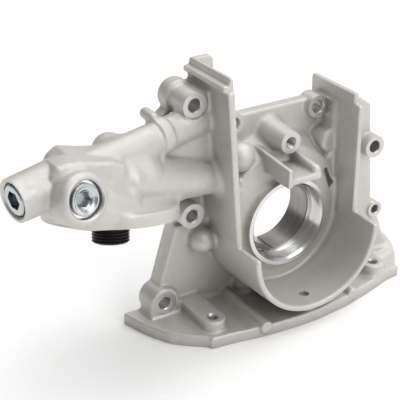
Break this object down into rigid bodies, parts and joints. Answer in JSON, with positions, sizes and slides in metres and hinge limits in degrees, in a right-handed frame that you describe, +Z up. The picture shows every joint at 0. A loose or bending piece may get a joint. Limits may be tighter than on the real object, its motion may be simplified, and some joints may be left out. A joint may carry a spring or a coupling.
{
  "type": "engine oil pump",
  "caption": "Crank-driven rotor oil pump in a die-cast front cover with a crank seal seat, sump flange, relief valve and side arm carrying a spin-on filter seat.",
  "frame": {"origin": "where the crankshaft axis meets the rear mounting face", "axes": "+Y from the front of the engine into the block along the crank axis, +Z up, +X to the right seen from the front; the filter arm points to -X"},
  "size_m": [0.2419, 0.0674, 0.1385],
  "materials": {
    "cast_aluminium": "die cast, satin",
    "pump_steel": "ground",
    "screw_steel": "zinc flake",
    "sintered_steel": "sintered, ground faces",
    "hard_steel": "ground",
    "spring_steel": "oiled",
    "zinc_plated_steel": "blue zinc plated",
    "washer_aluminium": "bright",
    "black_steel": "black oxide"
  },
  "bodies": {
    "pump_body": {"pump_housing": "cast_aluminium", "rear_cover": "pump_steel", "cover_screws": "screw_steel", "cover_dowel_pins": "pump_steel", "relief_spring": "spring_steel", "relief_spring_guide": "hard_steel", "relief_end_plug": "zinc_plated_steel", "relief_plug_washer": "washer_aluminium", "front_plug": "zinc_plated_steel", "front_plug_washer": "washer_aluminium", "filter_stud": "black_steel", "bypass_valve_cage": "pump_steel", "bypass_valve_spring": "spring_steel", "bypass_spring_plate": "pump_steel", "locating_sleeves": "pump_steel", "gallery_ball_plugs": "hard_steel"},
    "inner_rotor_body": {"inner_rotor": "sintered_steel"},
    "outer_rotor_body": {"outer_rotor": "sintered_steel"},
    "relief_piston_body": {"relief_piston": "hard_steel"},
    "bypass_disc_body": {"bypass_valve_disc": "hard_steel"}
  },
  "joints": [
    {"name": "outer_rotor_spin", "type": "hinge", "parent": "pump_body", "child": "outer_rotor_body", "pos_m": [-0.00207, -0.009, 0.00075], "axis": [0, 1, 0], "continuous": true},
    {"name": "inner_rotor_spin", "type": "hinge", "parent": "pump_body", "child": "inner_rotor_body", "pos_m": [0, -0.009, 0], "axis": [0, 1, 0], "continuous": true},
    {"name": "relief_piston_slide", "type": "slide", "parent": "pump_body", "child": "relief_piston_body", "axis": [-0.982, -0.172, -0.0785], "range_m": [0, 0.0045], "stiffness_N_per_m": 6000, "springref_m": -0.005, "deforming": ["relief_spring"]},
    {"name": "bypass_disc_slide", "type": "slide", "parent": "pump_body", "child": "bypass_disc_body", "axis": [0.148, 0.2389, 0.9597], "range_m": [0, 0.0014], "stiffness_N_per_m": 700, "springref_m": -0.003, "deforming": ["bypass_valve_spring"]}
  ],
  "couplings": [
    {"joint": "inner_rotor_spin", "follows": "outer_rotor_spin", "ratio": 1.1}
  ]
}
